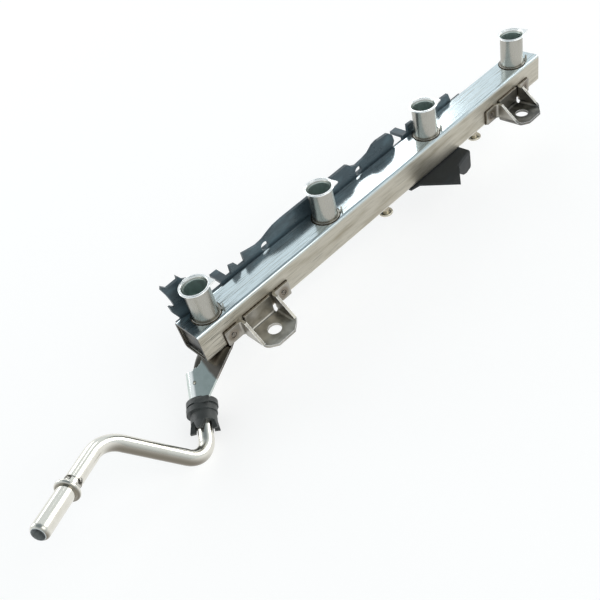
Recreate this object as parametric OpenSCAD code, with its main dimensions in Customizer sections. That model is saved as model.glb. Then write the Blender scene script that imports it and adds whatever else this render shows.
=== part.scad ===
// Fuel rail: a square steel tube with four injector cups, two pressed feet, a bent inlet pipe
// held by a folded support bracket and a moulded clip, and a moulded harness tray at the back.
// Millimetres. +X runs from the inlet end to the far end, +Y from the feet to the tray and +Z out
// of the cup mouths. The origin is midway between the two foot bolt holes, on the feet's seating face.

/* [Rail] */
// length of the square tube
rail_len = 320; // [316:1:330]
// width of the tube, front to back
rail_w = 21; // [20.5:0.5:23]
// height of the tube
rail_h = 20.2; // [19:0.1:22]
// wall of the tube
rail_wall = 1.5; // [1.2:0.1:1.8]
// outer radius of the tube's long corners
rail_corner_r = 2.2; // [2:0.1:3]
// step from the feet's seating face up to the tube's underside
rail_lift = 0.7; // [0.5:0.1:1.2]
// sheet of the two pressed end caps
cap_t = 1.2; // [1:0.1:1.6]
// depth the end caps sit inside the tube's mouth
cap_inset = 1.1; // [0.6:0.1:2]
// rim of each end cap, turned outwards along the tube's wall
cap_rim = 1.9; // [1.4:0.1:3]

/* [Injector cups] */
// spacing of the injector cups
cup_pitch = 96; // [90:1:98]
// distance of the cups' middle from the tube's middle, towards the inlet
cup_shift = 0.9; // [0:0.1:1.5]
// height of a cup above the tube
cup_h = 21.7; // [18:0.1:26]
// inside diameter that seals on the injector's ring
cup_bore_d = 13.5; // [13:0.1:14]
// wall of a cup
cup_wall = 0.8; // [0.6:0.1:1]
// outside diameter of the flange round the mouth
cup_lip_d = 18.2; // [17.5:0.1:19]
// thickness of that flange
cup_lip_t = 1.1; // [0.9:0.1:1.6]
// diameter of the lead-in at the mouth
cup_lead_d = 15; // [14.6:0.1:15.4]
// depth of the tapered lead-in
cup_lead_h = 2.4; // [1.5:0.1:4]
// reach of the pointed ear from the cup's axis
cup_ear_reach = 11.6; // [10.5:0.1:13]
// width of the ear where it leaves the flange
cup_ear_w = 7; // [5:0.5:9]
// turn of the ear from +X, towards the feet
cup_ear_turn = 35; // [0:5:60]
// diameter of the brazing collar at the foot of a cup
cup_collar_d = 17.4; // [16.8:0.1:18]
// height of the brazing collar
cup_collar_h = 0.8; // [0.6:0.1:1.2]
// height of the small locating tab beside the collar
cup_tab_h = 3; // [2:0.1:4]
// width of that tab
cup_tab_w = 2; // [1.6:0.1:3]
// reach of that tab from the cup's axis
cup_tab_reach = 10.6; // [10.2:0.1:12]
// floor of a cup
cup_floor = 1.4; // [1:0.1:2]
// diameter of the nipple in the tube's wall
cup_nipple_d = 10; // [8:0.5:12]
// diameter of the fuel port through the nipple
cup_port_d = 5; // [3:0.5:6]

/* [Feet] */
// spacing of the two bolt holes
foot_pitch = 241; // [230:1:250]
// reach from a bolt hole to the tube's front face
foot_reach = 12.4; // [12:0.1:15]
// sheet of the pressed feet
foot_t = 1.8; // [1.5:0.1:2.2]
// diameter of a bolt hole
foot_hole_d = 8.4; // [6.5:0.1:9]
// width across the two side walls
foot_w = 26.4; // [25:0.1:30]
// reach from a bolt hole to the front edge
foot_front = 10.5; // [9:0.1:13]
// corner cut off the front edge, along the width
foot_cut_x = 7; // [5:0.5:9]
// corner cut off the front edge, along the depth
foot_cut_y = 5.5; // [4:0.5:8]
// inside radius of the folds
foot_fold_r = 1.5; // [1:0.1:2]
// height of the side walls at the tube
foot_side_h = 11.4; // [11:0.1:13]
// height of a side wall at its front end
foot_nose_h = 0.8; // [0.6:0.1:2]
// width of the upright web between the side walls
foot_web_w = 19.6; // [16:0.1:20]
// height of the upright web
foot_web_h = 11.8; // [10:0.1:13]
// reach of a welding ear from the bolt hole, along the tube
foot_ear_reach = 24.6; // [23:0.1:27]
// lower edge of the welding ears
foot_ear_z = 1.5; // [1:0.1:3]
// radius of an ear's outer corners
foot_ear_r = 0.9; // [0.5:0.1:2]
// level part of a side wall beside the tube
foot_side_flat = 2; // [1:0.1:4]
// place of the weld dimple along the tube
foot_weld_x = 19.6; // [19.2:0.1:20.6]
// outside diameter of the weld's sunk ring
foot_weld_d = 4.4; // [3.6:0.1:4.8]
// diameter of the weld's raised middle
foot_nugget_d = 2.2; // [1.6:0.1:2.8]
// depth of the weld's sunk ring
foot_weld_t = 0.5; // [0.3:0.1:0.8]

/* [Inlet pipe] */
// outside diameter of the pipe
pipe_d = 8.8; // [8:0.1:9]
// wall of the pipe
pipe_wall = 1; // [0.8:0.1:1.4]
// distance of the pipe from the tube's end
pipe_inset = 6.4; // [6.2:0.1:8]
// distance of the pipe from the tube's front face
pipe_back = 13; // [12:0.1:14]
// drop from the tube's underside to the first corner
pipe_drop = 6.2; // [5.8:0.1:7]
// inside the tube the pipe ends this far above the underside
pipe_stick = 1.4; // [1:0.1:3]
// thinning of the wall in a bend, on each face
bend_thinning = 0.02; // [0.02:0.01:0.05]
// bend radius of the corner under the tube, on the pipe's centre line
jog_r = 12; // [10:0.5:12.5]
// length of the short run that leads past the tube's end
jog_len = 13.7; // [13:0.1:15]
// heading of that run, seen from above
jog_turn = 167.3; // [165:0.1:170]
// rise of that run
jog_rise = -51.7; // [-54:0.1:-50]
// bend radius of the first corner
bend1_r = 12; // [10:0.5:12.5]
// length of the first run, corner to corner
run1_len = 56.4; // [55:0.1:60]
// heading of the first run, seen from above
run1_turn = 233.3; // [232.5:0.1:234]
// rise of the first run
run1_rise = -10.7; // [-11.5:0.1:-10.5]
// bend radius of the second corner
bend2_r = 12; // [10:0.5:13]
// length of the second run
run2_len = 60.7; // [56:0.1:66]
// heading of the second run
run2_turn = 148.7; // [145:0.1:152]
// rise of the second run
run2_rise = 47.5; // [44:0.1:52]
// bend radius of the third corner
bend3_r = 18; // [14:0.5:20]
// length of the third run, to the tip
run3_len = 61.3; // [58:0.1:70]
// heading of the third run
run3_turn = 216.4; // [212:0.1:220]
// rise of the third run
run3_rise = 16.1; // [12:0.1:20]
// outside diameter of the quick-connect end
spigot_d = 9.49; // [9.3:0.01:9.6]
// length from the stop bead to the tip
spigot_len = 25; // [20:0.5:28]
// radius of the rounded nose
spigot_nose_r = 2.6; // [1.5:0.1:3]
// diameter of the stop bead
bead_d = 13.2; // [12:0.1:14]
// thickness of the stop bead
bead_t = 2.4; // [2:0.1:3]
// length of the shallow groove behind the bead
crimp_len = 2; // [1:0.1:3]
// distance from the bead back to that groove
crimp_gap = 2; // [1:0.1:4]
// depth of that groove
crimp_depth = 0.3; // [0.1:0.05:0.4]

/* [Support bracket] */
// sheet of the folded support bracket
support_t = 2; // [1.5:0.1:2.2]
// place of the arm's upper edge, from the tube's end
support_inset = 7.4; // [7:0.1:8]
// place of the arm's upper edge, from the tube's front face
support_back = 8.6; // [8:0.1:9]
// heading of the sloping arm, seen from above
support_turn = 214; // [212:0.5:216]
// fall of the sloping arm
support_fall = 27; // [26:0.5:28]
// inside radius of the fold
support_fold_r = 1.5; // [1:0.1:3]
// length of the sloping arm to its far corner
support_len = 32.5; // [31.5:0.1:33]
// reach of the rolled edge from the arm's axis, at the far end
support_edge = 10.1; // [9.8:0.1:10.4]
// width of the arm's far end
support_end_w = 12.3; // [11:0.1:13]
// how much shorter the plain edge is than the rolled one
support_skew = 3; // [2.6:0.1:3.2]
// length of the foot that lies under the tube
support_root_len = 14; // [10:0.5:18]
// reach of the foot away from the pipe
support_root_side = 13.2; // [12:0.1:14]
// reach of the foot's edge beside the pipe
support_pipe_side = 3.6; // [3:0.1:4]
// outside radius of the rolled edge
support_roll_r = 6.9; // [6.6:0.1:7.2]
// length of the rolled edge
support_roll_len = 18; // [15:0.5:19]
// angle between the rolled edge and the arm's axis
support_roll_turn = 15.5; // [14:0.5:16]
// step where the rolled edge starts
support_notch_step = 1.6; // [1:0.1:3]
// middle of the round notch beside the pipe, along the slope
notch_x = 6.5; // [6:0.1:7]
// middle of that notch, across the slope
notch_y = 10; // [9.5:0.1:10.5]
// radius of that notch
notch_r = 6.2; // [6:0.1:6.4]
// tongue at the far end that the clip holds
support_grip = 1.2; // [0.6:0.1:1.6]
// width of that tongue
tongue_w = 4; // [3:0.1:4.2]
// reach of the tongue to the plain side of the arm's axis
tongue_side = 1; // [0.8:0.1:1.4]
// diameter of the small locating hole
support_hole_d = 1.8; // [1.2:0.1:3]
// place of that hole down the slope
support_hole_x = 20.2; // [18:0.1:22]
// place of that hole across the slope
support_hole_y = 6.4; // [5:0.1:7]

/* [Pipe clip] */
// start of the clip, along the pipe from its first corner
clip_start = 20.6; // [20:0.1:21.2]
// diameter of the two collars
clip_collar_d = 18; // [17:0.1:20]
// thickness of each collar
clip_collar_t = 3.2; // [2.4:0.1:3.6]
// width of the groove between the collars
clip_groove = 0.9; // [0.6:0.1:1.4]
// depth of that groove
clip_groove_depth = 1; // [0.5:0.1:1.5]
// diameter of the sleeve under the collars
clip_sleeve_d = 15; // [14.4:0.1:16]
// length of the sleeve
clip_sleeve_len = 6; // [5:0.5:7]
// length of the spring fingers
clip_finger_len = 4.6; // [4:0.1:6]
// width left at a finger's point, as a share of its root
clip_tip_share = 0.3; // [0.2:0.05:0.6]
// thickness of the fingers
clip_finger_t = 2.2; // [1.8:0.1:2.6]
// flare of the fingers over their length
clip_flare = 0.9; // [0.4:0.1:1.2]
// sideways step of the collars from the pipe
clip_offset = 0.4; // [0.2:0.1:0.6]
// sideways step of the second collar from the first
clip_shift = 0.5; // [0.2:0.1:0.8]
// sideways step of the sleeve from the pipe
clip_sleeve_offset = 0.2; // [0:0.1:0.4]
// play between the clip and what it grips
clip_play = 0.05; // [0.02:0.01:0.2]

/* [Harness tray] */
// wall of the moulded tray
tray_t = 2; // [1.6:0.1:2.4]
// height of the raised wall above the tube
tray_rise = 10.6; // [8:0.1:13]
// inlet end of the raised wall
tray_left = -105.6; // [-108:0.1:-100]
// far end of the raised wall
tray_right = 28; // [26:0.1:30]
// far end of the whole moulding
tray_end = 98; // [96:0.5:104]
// depth of the two dips in the raised wall
tray_dip = 4; // [2:0.1:4.4]
// place of the first window, below the first dip
window_1_x = -89.5; // [-91:0.5:-88]
// place of the second window, below the second dip
window_2_x = -7; // [-9:0.5:-5]
// diameter of the windows
window_d = 5.8; // [4.5:0.1:6.4]
// height of the windows' middle above the tube
window_z = 2; // [1:0.1:3]
// inside width of the trough behind the wall
trough_w = 9; // [7:0.5:11]
// height of the trough's floor above the tube's underside
trough_floor = 0; // [-1:0.5:2]
// height of the trough's outer wall above its floor
trough_h = 11; // [8:0.5:12]
// place of the first finger over the trough
finger_1_x = -121.9; // [-123:0.1:-121]
// place of the second finger over the trough
finger_2_x = 39; // [38:0.1:40]
// width of the fingers
finger_w = 5.5; // [4.5:0.1:6]
// height of the fingers' upper face above the tube
finger_rise = 1.6; // [1:0.1:3]
// height of the saddle at the inlet end, above the tube
saddle_h = 22.3; // [20:0.1:24]
// width of the saddle between its two upper horns
saddle_w = 10; // [8:0.5:12]
// height of a horn above the saddle's edge
horn_h = 3; // [1.5:0.1:4]
// first stud under the tube, from the row's middle
stud_x = -4.5; // [-8:0.5:0]
// spacing of the two studs
stud_pitch = 94.5; // [90:0.5:96]
// distance of the studs from the tube's front face
stud_back = 5.6; // [5.2:0.1:8]
// diameter of a stud's shank
stud_d = 4.6; // [4:0.1:5.4]
// diameter of a stud's head
stud_head_d = 9.4; // [8:0.1:10]
// thickness of a stud's head
stud_head_t = 1.8; // [1.4:0.1:2.4]
// length of a stud under the tube
stud_len = 7.6; // [6:0.1:10]
// width of the tray's tabs round the studs
stud_tab_w = 11; // [9:0.5:14]
// play of the tabs' notches round the studs
stud_play = 0.1; // [0.05:0.05:0.3]

/* [Connector bracket] */
// sheet of the black bracket under the tube
tongue_t = 1.2; // [1:0.1:1.6]
// reach of its corner in front of the tube
tongue_reach = 23.8; // [20:0.1:26]
// place of that corner along the tube
tongue_x = 36; // [34:0.5:38]
// depth of the part that lies under the tube
tongue_root = 16; // [12:0.5:18]
// reach of its root from that corner towards the inlet
tongue_near = 20.6; // [18:0.1:24]
// reach of its root from that corner towards the far end
tongue_far = 31.4; // [28:0.1:34]
// knee of its near edge, along the tube
knee_x = 13.8; // [12:0.1:16]
// reach of that knee in front of the tube
knee_y = 1.7; // [1:0.1:3]
// near end of the flap's fold, along the tube from the corner
flap_x = 15.1; // [14:0.1:16]
// near end of the flap's fold, back from the corner
flap_y = 12.4; // [11:0.1:13]
// inside radius of the flap's fold
tongue_fold_r = 0.5; // [0.4:0.1:1]
// length of the flap's fold
flap_w = 17.2; // [15:0.1:18]
// angle of the flap's fold from the tube
flap_turn = 13; // [8:0.5:18]
// drop of the flap at its far corner
flap_drop = 13.6; // [10:0.1:16]
// drop of the flap at its near corner
flap_near_drop = 7; // [5:0.1:9]

/* [Hidden] */
$fn = 64;
JOIN = 0.05;
OVER = 1;
STEEL = "#a8a39a";
BRIGHT = "#c9c7c2";
ZINC = "#8f9a96";
BLACK = "#2c3234";
half_len = rail_len / 2;
rail_back = foot_reach + rail_w;
rail_top = rail_lift + rail_h;
rail_yc = foot_reach + rail_w / 2;
bore_r = cup_bore_d / 2;
body_r = bore_r + cup_wall;
pipe_r = pipe_d / 2;
pipe_root = [-half_len + pipe_inset, foot_reach + pipe_back, rail_lift];
corner0 = pipe_root - [0, 0, pipe_drop];
corner1 = corner0 + jog_len * heading(jog_turn, jog_rise);
corner2 = corner1 + run1_len * heading(run1_turn, run1_rise);
corner3 = corner2 + run2_len * heading(run2_turn, run2_rise);
tip = corner3 + run3_len * heading(run3_turn, run3_rise);
route = [pipe_root + [0, 0, pipe_stick], corner0, corner1, corner2, corner3, tip];
bends = [0, jog_r, bend1_r, bend2_r, bend3_r, 0];
spigot_end = spigot_len + bead_t + crimp_gap + crimp_len;
pipe_along = unit(corner2 - corner1);
clip_across = heading(run1_turn - 90, 0);
clip_body_len = 2 * clip_collar_t + clip_groove + clip_sleeve_len;
support_foot = [-half_len + support_inset, foot_reach + support_back, rail_lift];
support_set = (support_fold_r + support_t) * tan(support_fall / 2);
notch_turn = 72;
roll_lap = 0.3;
stud_y = foot_reach + stud_back;

function unit(v) = v / norm(v);
function heading(turn, rise) = [cos(rise) * cos(turn), cos(rise) * sin(turn), sin(rise)];
function cup_x(i) = (i - 2.5) * cup_pitch - cup_shift;

// stands the children on a point, with their z along one direction and their x near another
module stand(at, along, near) {
  z = unit(along);
  y = unit(cross(z, near));
  x = cross(y, z);
  multmatrix([[x.x, y.x, z.x, at.x], [x.y, y.y, z.y, at.y], [x.z, y.z, z.z, at.z], [0, 0, 0, 1]])
    children();
}

// a bar along X with round long corners, centred on its own axis
module round_bar(length, w, h, r) {
  rotate([90, 0, 90])
    linear_extrude(length, center = true)
      round_rect(w, h, r);
}

module round_rect(w, h, r) {
  square([w - 2 * r, h], center = true);
  square([w, h - 2 * r], center = true);
  for (sx = [-1, 1], sy = [-1, 1])
    translate([sx * (w / 2 - r), sy * (h / 2 - r)])
      circle(r);
}

// a quarter of a ring, from +X round to +Y
module quarter(r_in, r_out) {
  difference() {
    circle(r_out);
    circle(r_in);
    translate([-2 * r_out, -r_out - OVER])
      square([2 * r_out, 2 * r_out + 2 * OVER]);
    translate([-r_out - OVER, -2 * r_out])
      square([2 * r_out + 2 * OVER, 2 * r_out]);
  }
}

function turn_at(i) = acos(unit(route[i] - route[i - 1]) * unit(route[i + 1] - route[i]));
function setback(i) = (i == 0 || i == len(route) - 1) ? 0 : bends[i] * tan(turn_at(i) / 2);

// the pipe's bend at one corner of its route, its ends let into the runs beside it
module bend(i) {
  d1 = unit(route[i] - route[i - 1]);
  d2 = unit(route[i + 1] - route[i]);
  inward = unit(d2 - (d1 * d2) * d1);
  lap = atan(JOIN / bends[i]);
  stand(route[i] - setback(i) * d1 + bends[i] * inward, cross(-inward, d1), -inward)
    rotate([0, 0, -lap])
      rotate_extrude(angle = turn_at(i) + 2 * lap)
        translate([bends[i], 0])
          difference() {
            circle(pipe_r - bend_thinning);
            circle(pipe_r - pipe_wall + bend_thinning);
          }
}

// the pipe's straight run that ends at one corner of its route, less what the spigot takes
module straight_run(i) {
  d = unit(route[i] - route[i - 1]);
  lead = setback(i - 1);
  rest = i == len(route) - 1 ? spigot_end : setback(i);
  stand(route[i - 1] + lead * d, d, abs(d.x) < 0.9 ? [1, 0, 0] : [0, 1, 0])
    rotate_extrude()
      translate([pipe_r - pipe_wall, 0])
        square([pipe_wall, norm(route[i] - route[i - 1]) - lead - rest]);
}

module rail_tube() {
  color(STEEL)
  difference() {
    translate([0, rail_yc, rail_lift + rail_h / 2])
      difference() {
        round_bar(rail_len, rail_w, rail_h, rail_corner_r);
        round_bar(rail_len + 2 * OVER, rail_w - 2 * rail_wall, rail_h - 2 * rail_wall,
                  rail_corner_r - rail_wall);
      }
    for (i = [1:4])
      translate([cup_x(i), rail_yc, rail_top - rail_wall - OVER])
        cylinder(h = rail_wall + 2 * OVER, d = cup_nipple_d + 2 * JOIN);
    translate(pipe_root - [0, 0, OVER])
      cylinder(h = rail_wall + 2 * OVER, r = pipe_r + JOIN);
  }
}

// a shallow pressed cup closing one end of the tube
module end_cap(side) {
  w = rail_w - 2 * rail_wall;
  h = rail_h - 2 * rail_wall;
  r = rail_corner_r - rail_wall;
  color(STEEL)
  translate([side * (half_len - cap_inset - cap_rim / 2), rail_yc, rail_lift + rail_h / 2])
    difference() {
      round_bar(cap_rim, w, h, r);
      translate([side * cap_t, 0, 0])
        round_bar(cap_rim, w - 2 * cap_t, h - 2 * cap_t, r);
    }
}

module cup_section() {
  lip_r = cup_lip_t / 2;
  mouth_r = cup_lead_d / 2;
  difference() {
    union() {
      translate([cup_port_d / 2, -rail_wall])
        square([(cup_nipple_d - cup_port_d) / 2, rail_wall + cup_floor]);
      translate([cup_port_d / 2, 0])
        square([body_r - cup_port_d / 2, cup_floor]);
      translate([bore_r, 0])
        square([cup_wall, cup_h - lip_r]);
      translate([body_r, 0])
        square([cup_collar_d / 2 - body_r - cup_collar_h / 2, cup_collar_h]);
      translate([cup_collar_d / 2 - cup_collar_h / 2, cup_collar_h / 2])
        circle(cup_collar_h / 2);
      translate([mouth_r + lip_r, cup_h - cup_lip_t])
        square([cup_lip_d / 2 - mouth_r - 2 * lip_r, cup_lip_t]);
      translate([bore_r, cup_h - cup_lip_t])
        square([mouth_r + lip_r - bore_r, lip_r]);
      for (x = [mouth_r + lip_r, cup_lip_d / 2 - lip_r])
        translate([x, cup_h - lip_r])
          circle(lip_r);
    }
    polygon([[bore_r - JOIN, cup_h - cup_lead_h], [bore_r, cup_h - cup_lead_h],
             [mouth_r, cup_h - lip_r], [bore_r - JOIN, cup_h - lip_r]]);
  }
}

module injector_cup(i) {
  point = cup_lip_t / 2;
  color(BRIGHT)
  translate([cup_x(i), rail_yc, rail_top]) {
    rotate_extrude()
      cup_section();
    rotate([0, 0, -cup_ear_turn]) {
      translate([0, 0, cup_h - cup_lip_t])
        linear_extrude(cup_lip_t)
          polygon([[cup_lip_d / 2 - cup_lip_t, -cup_ear_w / 2], [cup_ear_reach - point, -point],
                   [cup_ear_reach, 0], [cup_ear_reach - point, point],
                   [cup_lip_d / 2 - cup_lip_t, cup_ear_w / 2]]);
      translate([body_r, -cup_tab_w / 2, 0])
        cube([cup_tab_reach - body_r, cup_tab_w, cup_collar_h]);
      translate([cup_tab_reach - cup_wall, -cup_tab_w / 2, 0])
        cube([cup_wall, cup_tab_w, cup_tab_h]);
    }
  }
}

// plate and side walls of a foot, seen along the rail's depth
module foot_channel() {
  flat = foot_w / 2 - foot_t - foot_fold_r;
  translate([-flat, -foot_t])
    square([2 * flat, foot_t]);
  for (m = [0, 1])
    mirror([m, 0]) {
      translate([flat, foot_fold_r])
        rotate(-90)
          quarter(foot_fold_r, foot_fold_r + foot_t);
      translate([foot_w / 2 - foot_t, foot_fold_r])
        square([foot_t, foot_side_h]);
    }
}

// one pressed foot about its own bolt hole
module foot() {
  fold = foot_fold_r + foot_t;
  side_end = foot_reach - fold;
  color(STEEL)
  difference() {
    union() {
      intersection() {
        translate([0, side_end, 0])
          rotate([90, 0, 0])
            linear_extrude(foot_front + side_end)
              foot_channel();
        translate([-foot_w / 2 - OVER, 0, 0])
          rotate([90, 0, 90])
            linear_extrude(foot_w + 2 * OVER)
              polygon([[-foot_front, -foot_t], [-foot_front, foot_nose_h],
                       [foot_cut_y - foot_front, foot_nose_h], [side_end - foot_side_flat, foot_side_h],
                       [side_end, foot_side_h], [side_end, -foot_t]]);
        translate([0, 0, -foot_t])
          linear_extrude(foot_t + foot_side_h)
            polygon([[-foot_w / 2, side_end], [-foot_w / 2, foot_cut_y - foot_front],
                     [foot_cut_x - foot_w / 2, -foot_front], [foot_w / 2 - foot_cut_x, -foot_front],
                     [foot_w / 2, foot_cut_y - foot_front], [foot_w / 2, side_end]]);
      }
      foot_web();
      for (m = [0, 1])
        mirror([m, 0, 0])
          foot_ear();
    }
    translate([0, 0, -foot_t - OVER])
      cylinder(h = foot_t + 2 * OVER, d = foot_hole_d);
  }
}

// the upright web: a strip folded up from the plate's rear edge against the tube
module foot_web() {
  fold = foot_fold_r + foot_t;
  translate([-foot_web_w / 2, 0, 0])
    rotate([90, 0, 90])
      linear_extrude(foot_web_w) {
        translate([foot_reach - fold, foot_fold_r])
          rotate(-90)
            quarter(foot_fold_r, fold);
        translate([foot_reach - foot_t, foot_fold_r])
          square([foot_t, foot_web_h - foot_fold_r]);
      }
}

// one welding ear, folded outwards from the rear edge of a side wall
module foot_ear() {
  fold = foot_fold_r + foot_t;
  inner = foot_w / 2 - foot_t;
  ear_h = foot_side_h - foot_ear_z;
  flat = foot_ear_reach - inner - fold;
  difference() {
    union() {
      translate([0, 0, foot_ear_z])
        linear_extrude(ear_h)
          translate([inner + fold, foot_reach - fold])
            rotate(90)
              quarter(foot_fold_r, fold);
      translate([inner + fold, foot_reach, foot_ear_z])
        rotate([90, 0, 0])
          linear_extrude(foot_t) {
            square([flat - foot_ear_r, ear_h]);
            translate([0, foot_ear_r])
              square([flat, ear_h - 2 * foot_ear_r]);
            for (z = [foot_ear_r, ear_h - foot_ear_r])
              translate([flat - foot_ear_r, z])
                circle(foot_ear_r);
          }
    }
    translate([foot_weld_x, foot_reach - foot_t - OVER, foot_ear_z + ear_h / 2])
      rotate([-90, 0, 0])
        difference() {
          cylinder(h = OVER + foot_weld_t, d = foot_weld_d);
          translate([0, 0, OVER])
            cylinder(h = foot_t, d = foot_nugget_d);
        }
  }
}

module inlet_pipe() {
  color(BRIGHT) {
    for (i = [1:len(route) - 1])
      straight_run(i);
    for (i = [1:len(route) - 2])
      bend(i);
    stand(tip, corner3 - tip, [0, 0, 1])
      rotate_extrude()
        spigot_section();
  }
}

// half section of the quick-connect end, measured back from the tip to behind the shallow groove
module spigot_section() {
  r = spigot_d / 2;
  inner = pipe_r - pipe_wall;
  bead_end = spigot_len + bead_t;
  translate([inner, spigot_nose_r])
    square([r - inner, bead_end - spigot_nose_r]);
  intersection() {
    translate([r - spigot_nose_r, spigot_nose_r])
      circle(spigot_nose_r);
    translate([inner, 0])
      square([r, spigot_nose_r]);
  }
  translate([r, spigot_len])
    square([bead_d / 2 - bead_t / 2 - r, bead_t]);
  translate([bead_d / 2 - bead_t / 2, spigot_len + bead_t / 2])
    circle(bead_t / 2);
  translate([inner, bead_end])
    square([pipe_wall, crimp_gap]);
  translate([inner + bend_thinning, bead_end + crimp_gap - JOIN])
    square([pipe_wall - crimp_depth - bend_thinning, crimp_len + 2 * JOIN]);
}

// frame of the sloping arm: x down the slope, y across it, z into the sheet from its upper face
module on_slope() {
  e1 = heading(support_turn, -support_fall);
  stand(support_foot, cross(e1, heading(support_turn - 90, 0)), e1)
    children();
}

// the sloping arm in its own plane, up to where its long edge starts to roll over
module arm_outline() {
  far = [support_len, support_edge];
  near = far + support_roll_len * [-cos(support_roll_turn), sin(support_roll_turn)];
  inset = support_roll_r * [sin(support_roll_turn), cos(support_roll_turn)];
  heel = [far.x - support_skew, far.y - support_end_w];
  waist = [notch_x, notch_y] + 0.9 * notch_r * [cos(notch_turn), -sin(notch_turn)];
  difference() {
    polygon([[0, -support_root_side], heel, far - inset, near - inset,
             near - inset - [support_notch_step, 0], [notch_x, notch_y], waist,
             [0, -support_pipe_side]]);
    translate([notch_x, notch_y])
      circle(notch_r);
  }
  translate([heel.x - OVER, -tongue_side])
    square([OVER + support_skew + support_grip, tongue_w]);
}

module pipe_support_bracket() {
  color(ZINC)
  on_slope()
    difference() {
      union() {
        linear_extrude(support_t)
          intersection() {
            arm_outline();
            translate([support_set, -1.5 * support_len])
              square(3 * support_len);
          }
        rolled_edge();
        translate([0, -support_root_side, 0])
          rotate([-90, 0, 0])
            linear_extrude(support_root_side - support_pipe_side)
              fold_profile();
      }
      translate([support_hole_x, support_hole_y, -OVER])
        cylinder(h = support_t + 2 * OVER, d = support_hole_d);
    }
}

// the bracket's fold and the foot under the tube, seen across the slope with the outside up
module fold_profile() {
  out_r = support_fold_r + support_t;
  reach = 2 * out_r;
  translate([support_set, -out_r]) {
    difference() {
      circle(out_r);
      circle(support_fold_r);
      translate([0, -reach])
        square(2 * reach);
      rotate(support_fall)
        translate([-2 * reach, -reach])
          square(2 * reach);
    }
    rotate(support_fall)
      translate([support_set - support_root_len, support_fold_r])
        square([support_root_len - support_set, support_t]);
  }
}

// the long edge of the arm, rolled over a quarter turn
module rolled_edge() {
  near = [support_len, support_edge]
         + support_roll_len * [-cos(support_roll_turn), sin(support_roll_turn)];
  translate(near)
    rotate([0, 0, -support_roll_turn])
      rotate([90, 0, 90])
        linear_extrude(support_roll_len) {
          translate([-support_roll_r, support_roll_r])
            rotate(-90)
              quarter(support_roll_r - support_t, support_roll_r);
          translate([-support_roll_r - roll_lap, 0])
            square([roll_lap, support_t]);
        }
}

// moulded clip: two collars that hold the bracket's tongue, a sleeve and spring fingers
module pipe_clip() {
  color(BLACK)
  difference() {
    stand(corner1 + clip_start * pipe_along, pipe_along, clip_across)
      clip_body();
    stand(corner1 + clip_start * pipe_along, pipe_along, clip_across)
      translate([0, 0, -OVER])
        cylinder(h = clip_body_len + clip_finger_len + 2 * OVER, r = pipe_r + clip_play);
    on_slope() {
      translate([0, 0, -clip_play])
        linear_extrude(support_t + 2 * clip_play)
          arm_outline();
      rolled_edge();
    }
  }
}

// the clip without its bore, standing on its first collar, x away from the plain side
module clip_body() {
  translate([clip_offset, 0, 0]) {
    cylinder(h = clip_collar_t, d = clip_collar_d);
    translate([clip_shift, 0, clip_collar_t + clip_groove])
      cylinder(h = clip_collar_t, d = clip_collar_d - clip_shift);
    cylinder(h = 2 * clip_collar_t + clip_groove, d = clip_collar_d - 2 * clip_groove_depth);
  }
  translate([clip_sleeve_offset, 0, 2 * clip_collar_t + clip_groove])
    cylinder(h = clip_sleeve_len, d = clip_sleeve_d);
  translate([clip_sleeve_offset, 0, clip_body_len])
    intersection() {
      difference() {
        cylinder(h = clip_finger_len, d1 = clip_sleeve_d, d2 = clip_sleeve_d + 2 * clip_flare);
        translate([0, 0, -OVER])
          cylinder(h = clip_finger_len + 2 * OVER, r = clip_sleeve_d / 2 - clip_finger_t);
      }
      for (f = [[0, 4.4], [-80, 6.4], [163, 2.6], [197, 2.6], [90, 6.4]])
        rotate([90, 0, 90 + f[0]])
          linear_extrude(clip_sleeve_d)
            polygon([[-f[1] / 2, -OVER], [f[1] / 2, -OVER], [f[1] / 2, 0],
                     [clip_tip_share * f[1] / 2, clip_finger_len + OVER],
                     [-clip_tip_share * f[1] / 2, clip_finger_len + OVER], [-f[1] / 2, 0]]);
    }
}

// a moulded wall standing along the tube's rear face, drawn in x and z
module back_wall(thick) {
  translate([0, rail_back + thick, 0])
    rotate([90, 0, 0])
      linear_extrude(thick)
        children();
}

module harness_tray() {
  floor_z = rail_lift + trough_floor;
  outer_y = rail_back + tray_t + trough_w;
  low_z = rail_lift - tray_t;
  color(BLACK)
  difference() {
    union() {
      translate([-half_len + 1.5, rail_back, low_z])
        cube([tray_end + half_len - 1.5, tray_t, rail_h - 2 + tray_t]);
      back_wall(tray_t) {
        raised_wall();
        saddle();
        low_wall();
      }
      translate([tray_left, rail_back, floor_z])
        cube([tray_right - tray_left, outer_y + tray_t - rail_back, tray_t]);
      translate([tray_left, outer_y, floor_z])
        cube([tray_right - tray_left, tray_t, trough_h]);
      for (x = [finger_1_x, finger_2_x])
        translate([x - finger_w / 2, rail_back, rail_top + finger_rise - tray_t])
          cube([finger_w, outer_y - rail_back, tray_t]);
      for (n = [0, 1])
        translate([stud_x + n * stud_pitch - stud_tab_w / 2, stud_y - stud_d / 2, low_z])
          cube([stud_tab_w, rail_back + tray_t - stud_y + stud_d / 2, tray_t]);
    }
    for (n = [0, 1])
      translate([stud_x + n * stud_pitch, stud_y, low_z - OVER]) {
        cylinder(h = tray_t + 2 * OVER, d = stud_d + 2 * stud_play);
        translate([-stud_d / 2 - stud_play, -stud_d, 0])
          cube([stud_d + 2 * stud_play, stud_d, tray_t + 2 * OVER]);
      }
    for (x = [window_1_x, window_2_x])
      translate([x, rail_back - OVER, rail_top + window_z])
        rotate([-90, 0, 0])
          cylinder(h = tray_t + 2 * OVER, d = window_d);
  }
}

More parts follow.
